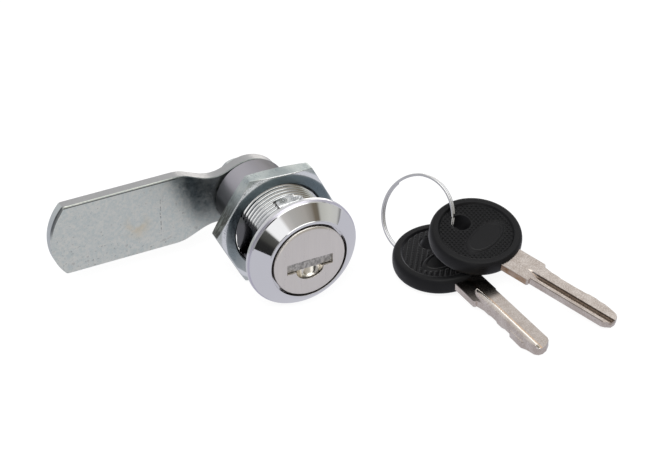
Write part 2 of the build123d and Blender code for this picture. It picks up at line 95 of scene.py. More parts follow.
def rounded_path(corners, closed=False, steps=4):
    """Path through (a, b, radius) corners. Each corner becomes an arc of its radius, whose centre
    lies on the corner's bisector at radius / sin(half the corner's angle)."""
    corners = np.array(corners, float)
    points, radii, count = corners[:, :2], corners[:, 2], len(corners)
    path = []
    for k in range(count):
        if radii[k] == 0 or (not closed and k in (0, count - 1)):
            path.append(points[k])
            continue
        back, ahead = points[k - 1] - points[k], points[(k + 1) % count] - points[k]
        back, ahead = back / np.linalg.norm(back), ahead / np.linalg.norm(ahead)
        half = np.arccos(np.clip(back @ ahead, -1, 1)) / 2
        middle = (back + ahead) / np.linalg.norm(back + ahead)
        centre = points[k] + middle * radii[k] / np.sin(half)
        first = points[k] + back * radii[k] / np.tan(half) - centre
        last = points[k] + ahead * radii[k] / np.tan(half) - centre
        e1 = first / radii[k]
        e2 = last - e1 * (last @ e1)
        e2 = e2 / np.linalg.norm(e2)
        for t in np.linspace(0, np.pi - 2 * half, steps + 1):
            path.append(centre + radii[k] * (np.cos(t) * e1 + np.sin(t) * e2))
    if closed:
        path.append(path[0])
    return np.array(path)


def smooth(value, low, high):
    """0 below low, 1 above high, and 3 t^2 - 2 t^3 between them."""
    t = np.clip((value - low) / (high - low), 0, 1)
    return t * t * (3 - 2 * t)


def around(radius, y, angle):
    """Points at a radius from the barrel axis, at y along it and at an angle from +X to +Z."""
    radius, y, angle = np.broadcast_arrays(radius, y, angle)
    return np.stack([radius * np.cos(angle), y, radius * np.sin(angle)], -1)


columns = 400
turn = np.linspace(-np.pi, np.pi, columns + 1)
core, crest, pitch = 8.9, 9.5, 1.0
thread_from, thread_to, thread_fade_in, thread_fade_out = 0.9, 13.0, 0.5, 0.6
flat_half, tail_r, tail_end = 8.0, 7.86, 23.4
bezel_r, lip_r, lip_front, head_bore, head_floor = 12.1, 9.0, -4.1, 8.35, -1.1
bore, groove_end, groove_deep, groove_half = 6.5, 13.8, 7.15, 3.5
lug_half, lug_inner, lug_outer, lug_out = np.radians(15.5), 6.6, 7.2, 0.45
front = rounded_path([(head_bore, head_floor, 0), (head_bore, lip_front, 0.09),
                      (8.9, lip_front + 0.02, 0.1), (lip_r, -3.9, 0.08), (11.66, -1.32, 0.07),
                      (12.08, -0.75, 0.12), (bezel_r, 0, 0.1), (crest, 0, 0), (crest, 0.6, 0.05),
                      (core, 0.75, 0.05), (core, thread_from, 0)])
rear = rounded_path([(core, thread_to, 0), (tail_r, 14.04, 0.3), (tail_r, tail_end, 0.15),
                     (lug_outer, tail_end, 0), (lug_inner, tail_end, 0), (bore, tail_end, 0),
                     (bore, groove_end, 0), (bore, groove_end, 0), (bore, head_floor, 0),
                     (head_bore, head_floor, 0)])
# Thread rows follow the helix, so the ridges keep straight edges. One pitch has eight rows.
phase = np.array([-0.44, -0.32, -0.13, -0.06, 0.06, 0.13, 0.32, 0.44])
lift = np.array([0.0, 0.12, 0.9, 1.0, 1.0, 0.9, 0.12, 0.0])
turns = np.arange(-1, 14)[:, None]
row_y = (thread_from + (0.5 + turns + phase) * pitch).reshape(-1, 1)
row_lift = np.tile(lift, len(turns))[:, None]
thread_y = np.clip(row_y - pitch * turn / (2 * np.pi), thread_from, thread_to)
fade = (smooth(thread_y, thread_from, thread_from + thread_fade_in)
        * (1 - smooth(thread_y, thread_to - thread_fade_out, thread_to)))
thread_r = core + (crest - core) * row_lift * fade
part_r, part_y = (np.concatenate([np.tile(front[:, k:k + 1], columns + 1), rows,
                                  np.tile(rear[:, k:k + 1], columns + 1)])
                  for k, rows in ((0, thread_r), (1, thread_y)))
barrel = (part_y > 0.001) & (part_r < 9.6)
cosine, sine = np.maximum(np.abs(np.cos(turn)), 1e-6), np.maximum(np.abs(np.sin(turn)), 1e-6)
part_r = np.where(barrel | (part_r == crest), np.minimum(part_r, flat_half / cosine), part_r)
# Cast pocket on top: a rounded rectangle sunk to a flat floor, with two round dimples and a web
# between them.
pocket_half, pocket_y, pocket_long, pocket_floor = 2.6, 3.9, 1.75, 7.85
dimple_x, dimple_y, dimple_wide, dimple_long, dimple_deep = 1.35, 4.1, 0.75, 0.95, 0.3
web_wide, web_long, web_high = 0.35, 1.2, 0.16
across = part_r * np.cos(turn)
inside = np.maximum(np.abs(across) - pocket_half, np.abs(part_y - pocket_y) - pocket_long)
off_dimple = (((np.abs(across) - dimple_x) / dimple_wide) ** 2
              + ((part_y - dimple_y) / dimple_long) ** 2)
off_web = (across / web_wide) ** 2 + ((part_y - dimple_y) / web_long) ** 2
floor_z = pocket_floor - dimple_deep * np.exp(-off_dimple ** 2) + web_high * np.exp(-off_web)
sunk = floor_z / np.maximum(np.sin(turn), 0.2)
weight = (1 - smooth(inside, -0.1, 0.3)) * barrel * (np.sin(turn) > 0.8)
part_r = part_r + (np.minimum(sunk, part_r) - part_r) * weight
# Crosswise grooves along the bore, into which the wafers slide
grooved = np.maximum(np.minimum(groove_deep / cosine, groove_half / sine),
                     np.minimum(groove_deep / sine, groove_half / cosine))
part_r[-3:-1] = np.maximum(part_r[-3:-1], grooved)
# Lug on the rear end that stops the quarter turn
lug = ((np.abs(np.abs(turn) - np.pi) < lug_half) & (part_y > tail_end - 0.05)
       & (part_r > lug_inner - 0.05) & (part_r < lug_outer + 0.05))
part_y = part_y + lug_out * lug
housing = skin("lock_housing_shell", [around(part_r, part_y, turn)], "lock_housing")


def node(tree, kind, sockets=None, **settings):
    """One shader node. A socket's value is a constant or another node's output."""
    made = tree.nodes.new("ShaderNode" + kind)
    for key, value in settings.items():
        setattr(made, key, value)
    for key, value in (sockets or {}).items():
        if isinstance(value, bpy.types.NodeSocket):
            tree.links.new(value, made.inputs[key])
        else:
            made.inputs[key].default_value = value
    return made


def calc(operation, a, b=0.0):
    """Result of one Math node, of which at least one value is a socket."""
    tree = (a if isinstance(a, bpy.types.NodeSocket) else b).id_data
    return node(tree, "Math", {0: a, 1: b}, operation=operation).outputs[0]


def stretch(value, low, high, to_low=0.0, to_high=1.0):
    """Maps low..high to to_low..to_high, held at its ends and eased between them."""
    return node(value.id_data, "MapRange", {"Value": value, "From Min": low, "From Max": high,
                                            "To Min": to_low, "To Max": to_high},
                interpolation_type="SMOOTHSTEP").outputs["Result"]


def tint(share, first, second):
    """Mixes two colours by a share from 0 to 1."""
    made = node(share.id_data, "Mix", {0: share}, data_type="RGBA", clamp_factor=True)
    for slot_index, colour in ((6, first), (7, second)):
        if isinstance(colour, bpy.types.NodeSocket):
            made.id_data.links.new(colour, made.inputs[slot_index])
        else:
            made.inputs[slot_index].default_value = (*colour, 1)
    return made.outputs[2]


def fall(value, low, high):
    """1 below low and 0 above high, eased between them."""
    return stretch(value, low, high, 1.0, 0.0)


def total(first, *others):
    """Sum of values, as a chain of Math nodes."""
    for other in others:
        first = calc("ADD", first, other)
    return first


def product(first, *others):
    """Product of values, as a chain of Math nodes."""
    for other in others:
        first = calc("MULTIPLY", first, other)
    return first


def less(value, share=1.0):
    """1 minus a share of a value."""
    return calc("SUBTRACT", 1.0, product(value, share))


def band(value, low, high, soft):
    """1 between low and high, eased to 0 over a soft border outside them."""
    return product(stretch(value, low - soft, low), fall(value, high, high + soft))


def layered(colour, layers):
    """Colour with others laid over it in turn, each by a mask and a share."""
    for mask, share, over in layers:
        colour = tint(product(mask, share), colour, over)
    return colour


def noise(vector, scale, detail=3.0, roughness=0.5):
    """Value of a noise texture at a position."""
    return node(vector.id_data, "TexNoise", {"Vector": vector, "Scale": scale, "Detail": detail,
                                             "Roughness": roughness}).outputs[0]


def place(tree, scale=(1, 1, 1)):
    """Object coordinates, scaled along each axis."""
    source = node(tree, "TexCoord").outputs["Object"]
    return node(tree, "Mapping", {"Vector": source, "Scale": scale}).outputs[0]


def millimetres(where):
    """A position in metres, in millimetres."""
    return node(where.id_data, "VectorMath", {0: where, "Scale": 1000.0},
                operation="SCALE").outputs[0]


def position(tree):
    """Object coordinates, then X, Y and Z in millimetres."""
    where = place(tree)
    return where, *node(tree, "SeparateXYZ", {0: millimetres(where)}).outputs


def off_axis(x, z):
    """Distance from the barrel's axis: the root of x^2 + z^2."""
    return calc("SQRT", total(product(x, x), product(z, z)))


def bump(height, distance):
    """Normal from a height field, with the bump's depth in metres."""
    return node(height.id_data, "Bump", {"Height": height, "Distance": distance}).outputs[0]


def material(name):
    """New node material, with its node tree and its Principled shader."""
    made = bpy.data.materials.new(name)
    made.use_nodes = True
    return made, made.node_tree, made.node_tree.nodes["Principled BSDF"]


def finish_of(pieces, made):
    """Gives pieces a material."""
    for piece in pieces:
        piece.data.materials.clear()
        piece.data.materials.append(made)


def wire(shader, **sockets):
    """Links or sets sockets of the shader, whose names are written with underscores."""
    for key, value in sockets.items():
        socket = shader.inputs[key.replace("_", " ")]
        if isinstance(value, bpy.types.NodeSocket):
            shader.id_data.links.new(value, socket)
        else:
            socket.default_value = value


def metal(shader, colour, rough, height, depth):
    """Metal's colour, roughness, and bump from a height field, with a depth in metres."""
    wire(shader, Metallic=1.0, Base_Color=colour, Roughness=rough, Normal=bump(height, depth))


# The bezel is polished, the barrel is as cast, and the tail is the dullest. The flats carry a painted
# dark reflection. Painted shade darkens the thread's roots, the pocket's left wall and the tail
# except towards its upper left. The shoulder carries a lilac painted reflection.
polish, bare_cast, dull_tail = (0.86, 0.86, 0.87), (0.86, 0.87, 0.87), (0.6, 0.58, 0.62)
root_painted_shade, wall_painted_shade, flat_painted_reflection = (0.12, 0.12, 0.12), (0.05, 0.05, 0.05), (0.025, 0.025, 0.028)
tail_shade, shoulder_painted_reflection = (0.07, 0.07, 0.075), (0.7, 0.68, 0.76)
chrome, tree, shader = material("chrome_zinc")
where, x, y, z = position(tree)
across, radius = calc("ABSOLUTE", x), off_axis(x, z)
cast = stretch(y, -0.1, 0.4)
tail = stretch(y, 12.5, 14.2)
cloud = noise(where, 900, 4)
fine = noise(where, 5200, 2)
pocket = product(fall(across, 3.0, 3.2), stretch(z, 6.0, 6.5), band(y, 1.95, 5.9, 0.2))
# Painted shade on the pocket's left wall
wall = product(pocket, fall(x, -2.6, -2.3))
# Lilac painted reflection on the bezel's shoulder, which is also rougher
shoulder = product(stretch(radius, 11.7, 11.85), fall(y, -0.8, -0.7))
# Painted shade in the thread's roots
root = product(calc("SUBTRACT", cast, tail), fall(radius, 8.85, 9.2), less(pocket))
# Painted dark reflection on the barrel's flats
flat = product(cast, stretch(across, 7.55, 7.85), less(tail, 0.3))
low_tail = product(tail, fall(calc("SUBTRACT", z, product(x, 0.6)), 5.0, 10.5))
rough = total(product(cast, 0.05), product(tail, 0.3), product(cloud, cast, 0.08),
              product(shoulder, 0.3), 0.045)
relief = product(total(product(cloud, 0.7), product(fine, 0.3)), cast)
colour = layered(tint(cast, polish, tint(tail, bare_cast, dull_tail)),
                 ((low_tail, 0.9, tail_shade), (root, 0.8, root_painted_shade), (wall, 0.9, wall_painted_shade),
                  (shoulder, 1.0, shoulder_painted_reflection), (flat, 0.93, flat_painted_reflection)))
metal(shader, colour, rough, relief, 0.000012)
finish_of([housing], chrome)
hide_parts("housing")


# ---- Mounting nut
# Stamped and tapped steel hexagon, zinc plated and blue passivated, with a turned face and
# slightly worn corners. It screws on the barrel behind the panel.

apothem, nut_front, nut_rear, nut_bore = 12.0, 9.5, 12.8, 9.55
nut_turn, corner_r = np.radians(-3.3), 13.8
chamfer_r, chamfer_angle, edge = 12.15, np.radians(15), 0.2
mouth, mouth_round = 0.45, 0.05
off_middle = np.abs(np.mod(turn - nut_turn, np.pi / 3) - np.pi / 6)
hexagon = np.minimum(apothem / np.cos(off_middle), corner_r)
drop = np.maximum(hexagon - chamfer_r, 0) * np.tan(chamfer_angle)
bend = np.linspace(0, np.pi / 2, 5)[:, None]
front_rows = np.array([(nut_bore, nut_front + mouth + mouth_round),
                       (nut_bore + mouth_round, nut_front + mouth - 0.09),
                       (nut_bore + mouth - 0.09, nut_front + mouth_round),
                       (nut_bore + mouth, nut_front), (11.0, nut_front), (11.8, nut_front)])
half_r = np.concatenate([np.tile(front_rows[:, :1], columns + 1),
                         hexagon - edge * (1 - np.sin(bend))])
half_y = np.concatenate([np.tile(front_rows[:, 1:], columns + 1),
                         nut_front + drop + edge * (1 - np.cos(bend))])
mirror_y = nut_front + nut_rear - half_y
nut_r = np.concatenate([half_r, half_r[::-1], half_r[:1]])
nut_y = np.concatenate([half_y, mirror_y[::-1], half_y[:1]])
nut = skin("mounting_nut_shell", [around(nut_r, nut_y, turn)], "nut", sharp=28)

zinc_skin = bpy.data.node_groups.new("zinc_skin", "ShaderNodeTree")
for label, way, kind, default in (("Vector", "INPUT", "NodeSocketVector", None),
                                  ("Cool", "INPUT", "NodeSocketColor", (0.44, 0.52, 0.56, 1)),
                                  ("Warm", "INPUT", "NodeSocketColor", (0.6, 0.63, 0.6, 1)),
                                  ("Cloud Scale", "INPUT", "NodeSocketFloat", 160.0),
                                  ("Color", "OUTPUT", "NodeSocketColor", None),
                                  ("Roughness", "OUTPUT", "NodeSocketFloat", None),
                                  ("Height", "OUTPUT", "NodeSocketFloat", None)):
    socket = zinc_skin.interface.new_socket(label, in_out=way, socket_type=kind)
    if default is not None:
        socket.default_value = default
into = zinc_skin.nodes.new("NodeGroupInput")
out = zinc_skin.nodes.new("NodeGroupOutput")
cloud = noise(into.outputs["Vector"], into.outputs["Cloud Scale"], 5, 0.62)
grain = noise(into.outputs["Vector"], 1700, 3, 0.6)
speck = noise(into.outputs["Vector"], 700, 2)
share = stretch(total(cloud, product(grain, 0.25)), 0.42, 0.82)
colour = layered(tint(share, into.outputs["Cool"], into.outputs["Warm"]),
                 ((stretch(speck, 0.66, 0.74), 0.3, (0.2, 0.22, 0.22)),))
rough = stretch(total(cloud, grain), 0.7, 1.3, 0.26, 0.46)
height = total(product(grain, 0.5), product(cloud, 0.5))
for label, value in (("Color", colour), ("Roughness", rough), ("Height", height)):
    zinc_skin.links.new(value, out.inputs[label])


def zinc(vector, **sockets):
    """A zinc skin group node for a material, fed with a position."""
    tree = vector.id_data
    made = tree.nodes.new("ShaderNodeGroup")
    made.node_tree = zinc_skin
    tree.links.new(vector, made.inputs["Vector"])
    for key, value in sockets.items():
        made.inputs[key].default_value = value
    return made.outputs["Color"], made.outputs["Roughness"], made.outputs["Height"]


# The front face darkens towards the bore, more so higher up. The front edge carries a painted
# highlight, the rear face and the bore carry painted shade, and the facet towards the cam carries a
# painted dark reflection of the cam, low down and streaked.
bore_ring_dark, facet_painted_reflection, bore_painted_shade = (0.12, 0.165, 0.19), (0.1, 0.095, 0.09), (0.02, 0.02, 0.025)
rear_painted_shade, edge_painted_highlight = (0.05, 0.065, 0.08), (0.95, 0.97, 0.97)
nut_zinc, tree, shader = material("nut_zinc")
where, x, y, z = position(tree)
radius = off_axis(x, z)
colour, rough, height = zinc(where, Cool=(0.46, 0.52, 0.52, 1), Warm=(0.72, 0.75, 0.72, 1))
bore_ring = product(fall(radius, 11.4, 12.7), stretch(z, -12.0, 8.0, 0.25, 0.85))
facet_turn = nut_turn + np.radians(150)
facet = total(product(x, float(np.cos(facet_turn))), product(z, float(np.sin(facet_turn))))
streaks = noise(place(tree, (0.25, 1, 0.25)), 2200, 3, 0.65)
# Painted dark reflection of the cam on the facet towards it, low down and streaked
reflected_cam = product(stretch(facet, 11.85, 11.95), fall(z, 4.5, 10.5),
               stretch(streaks, 0.35, 0.6, 0.55, 1.0))
# Painted shade on the nut's rear face
shaded_rear = stretch(y, 12.72, 12.78)
# Painted highlight along the nut's front edge, which is also smoother
highlighted_edge = product(stretch(y, 9.51, 9.55), fall(y, 9.68, 9.8), stretch(radius, 11.8, 11.9))
# Painted shade in the nut's bore
colour = layered(colour, ((bore_ring, 1.0, bore_ring_dark), (reflected_cam, 0.93, facet_painted_reflection), (shaded_rear, 1.0, rear_painted_shade),
                          (fall(radius, 9.65, 9.8), 1.0, bore_painted_shade), (highlighted_edge, 1.0, edge_painted_highlight)))
metal(shader, colour, product(rough, less(highlighted_edge, 0.6)), height, 0.00012)
finish_of([nut], nut_zinc)
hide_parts("mounting_nut")


# ---- Face cap
# Stainless sheet drawn over the plug's head: a brushed flat face, a softly rolled rim, and a
# punched slot with a half-round notch below it for the key's rib.

cap_r, cap_front, cap_rear, skirt_rear, skirt_inner = 7.88, -4.42, -3.92, -1.82, 7.45
slot_half, slot_rise, slot_mid = 5.03, 1.15, -0.73
notch_half, notch_deep = 3.0, 2.2
corner_turns = [np.arctan2(s * slot_rise, t * slot_half) for s in (-1, 1) for t in (-1, 1)]
cap_turn = np.unique(np.concatenate([np.linspace(-np.pi, np.pi, 361), corner_turns,
                                     np.arctan2(-slot_rise, [notch_half, -notch_half])]))
ux, uz = np.cos(cap_turn), np.sin(cap_turn)
slot_reach = np.minimum(slot_half / np.maximum(np.abs(ux), 1e-6),
                        slot_rise / np.maximum(np.abs(uz), 1e-6))
# The notch is an ellipse on the slot's lower edge: a quadratic gives how far each ray runs in it.
qa = (ux / notch_half) ** 2 + (uz / notch_deep) ** 2
qb = 2 * uz * slot_rise / notch_deep ** 2
qc = (slot_rise / notch_deep) ** 2 - 1
notch_reach = (-qb + np.sqrt(np.maximum(qb ** 2 - 4 * qa * qc, 0))) / (2 * qa)
reach = np.where(uz < 0, np.maximum(slot_reach, notch_reach), slot_reach)
hole_x, hole_z = reach * ux, slot_mid + reach * uz


def ring_at(radius):
    """X and Z where each ray from the slot's middle meets a circle about the barrel axis."""
    along = -slot_mid * uz + np.sqrt((slot_mid * uz) ** 2 - slot_mid ** 2 + radius ** 2)
    return along * ux, slot_mid + along * uz


def cap_row(x, z, height):
    """One row of the cap's grid at a height along the barrel axis."""
    return np.stack([x, np.full_like(x, height), z], -1)


def hole_row(grow, height):
    """The slot's outline, moved outwards a little."""
    return cap_row(hole_x + grow * ux, hole_z + grow * uz, height)


# From the slot's softly rounded edge over the flat face to the rolled rim, the skirt and back
roll, roll_deep = 0.75, 0.5
rim_x, rim_z = ring_at(cap_r - roll)
rows = [hole_row(0, cap_rear)]
for grow, sunk in ((0, 0.1), (0.02, 0.04), (0.07, 0.005)):
    rows.append(hole_row(grow, cap_front + sunk))
for t in np.linspace(0.04, 1, 9):
    rows.append(cap_row(hole_x * (1 - t) + rim_x * t, hole_z * (1 - t) + rim_z * t, cap_front))
for bend_angle in np.linspace(0.12, np.pi / 2, 9):
    x, z = ring_at(cap_r - roll + roll * np.sin(bend_angle))
    rows.append(cap_row(x, z, cap_front + roll_deep * (1 - np.cos(bend_angle))))
for radius, height in ((cap_r, skirt_rear), (skirt_inner, skirt_rear), (skirt_inner, cap_rear)):
    rows.append(cap_row(*ring_at(radius), height))
rows.append(hole_row(0, cap_rear))
cap = skin("face_cap_shell", [np.array(rows)], "turning_plug", sharp=40)

brushed, tree, shader = material("satin_stainless")
streak = noise(place(tree, (1, 1, 0.03)), 2600, 3, 0.6)
cross = noise(place(tree, (1, 1, 0.2)), 900, 2)
patch = noise(place(tree), 120, 2)
mixed = total(product(streak, 0.6), product(cross, 0.4))
colour = tint(total(product(mixed, 0.7), product(patch, 0.3)), (0.74, 0.7, 0.65), (0.94, 0.9, 0.85))
metal(shader, colour, stretch(mixed, 0.3, 0.7, 0.26, 0.38), mixed, 0.00002)
finish_of([cap, nodes["shutter_pin"]], brushed)
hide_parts("face_cap")


# ---- Plug, shutter and wafers
# The plug is a nickel-plated zinc casting, seen in the notch as a polished dish. The shutter is
# plain steel sheet, and the wafers are stamped brass. The springs are drawn steel wire.

plug_zinc, tree, shader = material("plug_zinc")
where, _, y, _ = position(tree)
cloud = noise(where, 700, 3)
behind = stretch(y, -2.5, -0.5)
metal(shader, tint(cloud, (0.88, 0.83, 0.74), (0.97, 0.94, 0.88)),
      total(product(behind, 0.25), stretch(cloud, 0.3, 0.7, 0.13, 0.2)), cloud, 0.00004)
finish_of([nodes["plug"]], plug_zinc)

shutter_steel, tree, shader = material("shutter_steel")
grain = noise(place(tree, (1, 1, 0.5)), 2000, 4, 0.7)
colour = tint(stretch(grain, 0.35, 0.65), (0.3, 0.29, 0.27), (0.68, 0.66, 0.62))
metal(shader, colour, stretch(grain, 0.3, 0.7, 0.4, 0.55), grain, 0.00006)
finish_of([nodes["shutter"]], shutter_steel)

brass, tree, shader = material("wafer_brass")
grain = noise(place(tree, (1, 0.1, 1)), 1800, 3)
metal(shader, tint(grain, (0.62, 0.45, 0.2), (0.8, 0.62, 0.32)),
      stretch(grain, 0.3, 0.7, 0.28, 0.42), grain, 0.00003)
finish_of([nodes["wafer_%d" % k] for k in range(1, 7)], brass)

spring_steel, tree, shader = material("spring_steel")
grain = noise(place(tree), 3000, 2)
wire(shader, Base_Color=tint(grain, (0.4, 0.39, 0.38), (0.6, 0.59, 0.58)), Metallic=1.0,
     Roughness=stretch(grain, 0.3, 0.7, 0.22, 0.34))
finish_of([nodes["shutter_spring"]] + [nodes["wafer_spring_%d" % k] for k in range(1, 7)],
          spring_steel)


# ---- Cam and its fixing
# Flat stamped steel arm with an arched tip and a narrowed neck, zinc plated with a mottled blue
# and yellow film. A hexagon screw with a split washer clamps it on the plug's square drive.

cam_front, cam_rear = 24.0, 26.4
half_width, tip_x, corner_x, bend_x = 8.1, -44.0, -40.9, -16.6
hub_r, join = 7.55, np.radians(115)
hub_x, hub_z = hub_r * np.cos(join), hub_r * np.sin(join)


def curve(points, first_slope, last_slope, count):
    """Smooth path through points, as cubic pieces whose inner directions are those of the
    neighbouring points' chord."""
    points = np.array(points, float)
    slopes = np.gradient(points, axis=0)
    size = np.linalg.norm(points[1] - points[0]), np.linalg.norm(points[-1] - points[-2])
    slopes[0] = np.array(first_slope) / np.linalg.norm(first_slope) * size[0]
    slopes[-1] = np.array(last_slope) / np.linalg.norm(last_slope) * size[1]
    path = []
    for k in range(len(points) - 1):
        t = np.linspace(0, 1, count, endpoint=False)[:, None]
        path.append((2 * t ** 3 - 3 * t ** 2 + 1) * points[k] + (t ** 3 - 2 * t ** 2 + t) * slopes[k]
                    + (3 * t ** 2 - 2 * t ** 3) * points[k + 1] + (t ** 3 - t ** 2) * slopes[k + 1])
    return np.concatenate(path)


neck = [(bend_x, half_width), (-14.4, 7.75), (-12.2, 6.85), (-10.1, 6.0), (-8.3, 5.6), (-6.6, 5.66),
        (-5.0, 6.12), (hub_x, hub_z)]
upper_neck = curve(neck, (1, 0), (1, 0.44), 6)
hub_turn = np.linspace(join, -join, 48, endpoint=False)
hub = np.stack([hub_r * np.cos(hub_turn), hub_r * np.sin(hub_turn)], -1)
lower_neck = np.concatenate([[(hub_x, -hub_z)], upper_neck[:0:-1] * (1, -1)])
arch_r = ((tip_x - corner_x) ** 2 + half_width ** 2) / (2 * (corner_x - tip_x))
arch_half = np.arcsin(half_width / arch_r)
arch_turn = np.linspace(np.pi + arch_half, np.pi - arch_half, 40)[1:-1]
arch = np.stack([tip_x + arch_r + arch_r * np.cos(arch_turn), arch_r * np.sin(arch_turn)], -1)
side_x = np.linspace(bend_x, corner_x + 1.65, 24)
lower_side = np.stack([side_x, np.full(len(side_x), -half_width)], -1)
upper_side = lower_side[::-1] * (1, -1)
corner_low = rounded_path([(corner_x + 1.54, -half_width, 0), (corner_x, -half_width, 0.9),
                           (*arch[2], 0)], steps=8)[1:-1]
corner_high = corner_low[::-1] * (1, -1)
outline = np.concatenate([upper_neck, hub, lower_neck, lower_side, corner_low, arch[2:-2],
                          corner_high, upper_side[:-1]])
outline = np.concatenate([outline, outline[:1]])
ahead = np.roll(outline[:-1], -1, 0) - np.roll(outline[:-1], 1, 0)
ahead = np.concatenate([ahead, ahead[:1]])
ahead = ahead / np.linalg.norm(ahead, axis=1)[:, None]
outwards = np.stack([-ahead[:, 1], ahead[:, 0]], -1)
# The front edge is slightly bevelled, more so at the upper corner of the tip.
edge_bevel, tip_bevel, tip_bevel_deep = 0.16, 0.45, 0.3
at_tip = smooth(-outline[:, 0], 39.5, 42.0) * smooth(outline[:, 1], -6, 8)
bevel = edge_bevel + tip_bevel * at_tip
bevel_deep = edge_bevel + tip_bevel_deep * at_tip


def cam_row(inset, height):
    """Outline of the cam moved inwards, at a height along the barrel axis."""
    inset = np.broadcast_to(inset, len(outline))
    moved = outline - outwards * inset[:, None]
    return np.stack([moved[:, 0], np.broadcast_to(height, len(outline)), moved[:, 1]], -1)


square, rear_round, rear_hole = 4.05, 0.3, 1.25
polar = np.arctan2(outline[:, 1], outline[:, 0])
to_square = square / np.maximum(np.abs(np.cos(polar)), np.abs(np.sin(polar)))
hole = np.stack([to_square * np.cos(polar), np.zeros(len(polar)), to_square * np.sin(polar)], -1)
rows = [hole + (0, cam_front, 0)]
face = cam_row(bevel + 0.05, cam_front)
for t in (0.1, 0.4, 0.7, 0.9, 1.0):
    rows.append(rows[0] * (1 - t) + face * t)
for s in (0.0, 0.5, 1.0):
    rows.append(cam_row(bevel * (1 - s) ** 1.3, cam_front + bevel_deep * s ** 1.3))
for bend_angle in np.linspace(0, np.pi / 2, 4):
    rows.append(cam_row(rear_round * (1 - np.cos(bend_angle)),
                        cam_rear - rear_round * (1 - np.sin(bend_angle))))
rows.append(hole * rear_hole + (0, cam_rear, 0))
rows.append(hole + (0, cam_rear, 0))
rows.append(rows[0])
cam = skin("cam_plate", [np.array(rows)], "turning_plug", sharp=35)


def line(value, centre, thin, wide):
    """1 within thin of a value's centre and 0 beyond wide."""
    return fall(calc("ABSOLUTE", calc("SUBTRACT", value, centre)), thin, wide)


# On the mottled plate lie a yellow spot, a scratch across the arm and fine pits. A painted dark
# reflection of the nut, with its shadow, lies over the neck, a painted dark line of shade follows the
# upper edge of the face, the edges sheared between the two faces are a duller grey, and the bevel of
# the tip carries a painted dark reflection.
yellow_film, scratch_dark, pit_dark = (0.8, 0.66, 0.42), (0.12, 0.13, 0.13), (0.3, 0.31, 0.29)
neck_painted_reflection, seam_painted_shade, tip_bevel_painted_reflection = (0.07, 0.1, 0.115), (0.1, 0.11, 0.1), (0.1, 0.11, 0.12)
sheared_tip, sheared_side = (0.68, 0.72, 0.71), (0.5, 0.5, 0.5)
spot_at, spot_reach = (-0.0255, 0.024, -0.0012), 0.0042
cam_zinc, tree, shader = material("cam_zinc")
where, x, y, z = position(tree)
colour, rough, height = zinc(where, Cool=(0.68, 0.74, 0.7, 1), Warm=(0.86, 0.87, 0.8, 1),
                            **{"Cloud Scale": 1400.0})
stain = noise(where, 210)
spot = node(tree, "VectorMath", {0: where, 1: spot_at}, operation="DISTANCE").outputs["Value"]
yellow = product(fall(spot, 0.0, spot_reach), stretch(stain, 0.42, 0.62))
waver = product(calc("SUBTRACT", stain, 0.5), 1.2)
scratch = product(line(total(x, waver), -20.0, 0.03, 0.12),
                  line(z, 0.0, 3.0, 4.5), stretch(noise(where, 1300, 2), 0.42, 0.55))
outer = total(product(z, -0.06), product(x, -0.014))
pits = total(noise(where, 1500, 3, 0.6), product(outer, 0.1))
# Painted dark reflection of the nut, with its shadow, over the neck
slant = total(x, product(calc("SUBTRACT", z, 8.1), 0.42))
reflected_nut = product(stretch(slant, -20.2, -13.5), stretch(stain, 0.25, 0.6, 0.6, 0.92),
                 stretch(z, -8.0, 0.5, 0.25, 1.0), stretch(x, -12.5, -9.5, 1.0, 0.75))
# Painted dark line of shade below the upper edge's bevel
seam = product(line(z, 7.72, 0.06, 0.18), fall(y, 24.02, 24.06), fall(x, -16.5, -15.5))
sheared = product(stretch(y, 24.18, 24.32), fall(y, 26.15, 26.35))
sheared_grey = tint(stretch(x, -41.2, -40.6), sheared_tip, sheared_side)
# Painted dark reflection on the tip's bevel
crescent = product(fall(x, -41.2, -40.2), stretch(z, 0.5, 3.5), stretch(y, 24.01, 24.05),
                   fall(y, 24.4, 24.55))
colour = layered(colour, ((yellow, 0.6, yellow_film), (scratch, 0.75, scratch_dark),
                          (stretch(pits, 0.66, 0.76), 0.6, pit_dark), (reflected_nut, 1.0, neck_painted_reflection),
                          (seam, 0.9, seam_painted_shade), (sheared, 1.0, sheared_grey),
                          (crescent, 0.8, tip_bevel_painted_reflection)))
metal(shader, colour, total(rough, 0.02), height, 0.00005)
finish_of([cam], cam_zinc)
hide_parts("cam")

# The stop washer's colours are near black: painted shade in the gap between the tail and the cam.
for name, pieces, cool, warm in (
        ("screw_zinc", ["cam_screw", "spring_washer"], (0.46, 0.52, 0.55, 1), (0.7, 0.72, 0.7, 1)),
        ("washer_painted_shade", ["stop_washer"], (0.05, 0.055, 0.06, 1), (0.12, 0.125, 0.13, 1))):
    made, tree, shader = material(name)
    colour, rough, height = zinc(place(tree), Cool=cool, Warm=warm)
    metal(shader, colour, rough, height, 0.00005)
    finish_of([nodes[piece] for piece in pieces], made)


# ---- Key bows
# Black plastic moulded round the blade: a smooth rounded rim, and a sunk face with fine knurling
# on one side and ribs on the other round a plain oval pad. A slotted eye takes the ring.

def key_frame(at, x_dir, z_dir):
    """Origin and axes of a loose key: X along its blade, Z out of its face."""
    z = np.array(z_dir) / np.linalg.norm(z_dir)
    x = np.array(x_dir) - z * (np.array(x_dir) @ z)
    x = x / np.linalg.norm(x)
    return np.array(at), np.stack([x, np.cross(z, x), z])


def laid(grid, placing):
    """Grid in the key's own axes moved to where the key lies."""
    origin, axes = placing
    return grid @ axes + origin


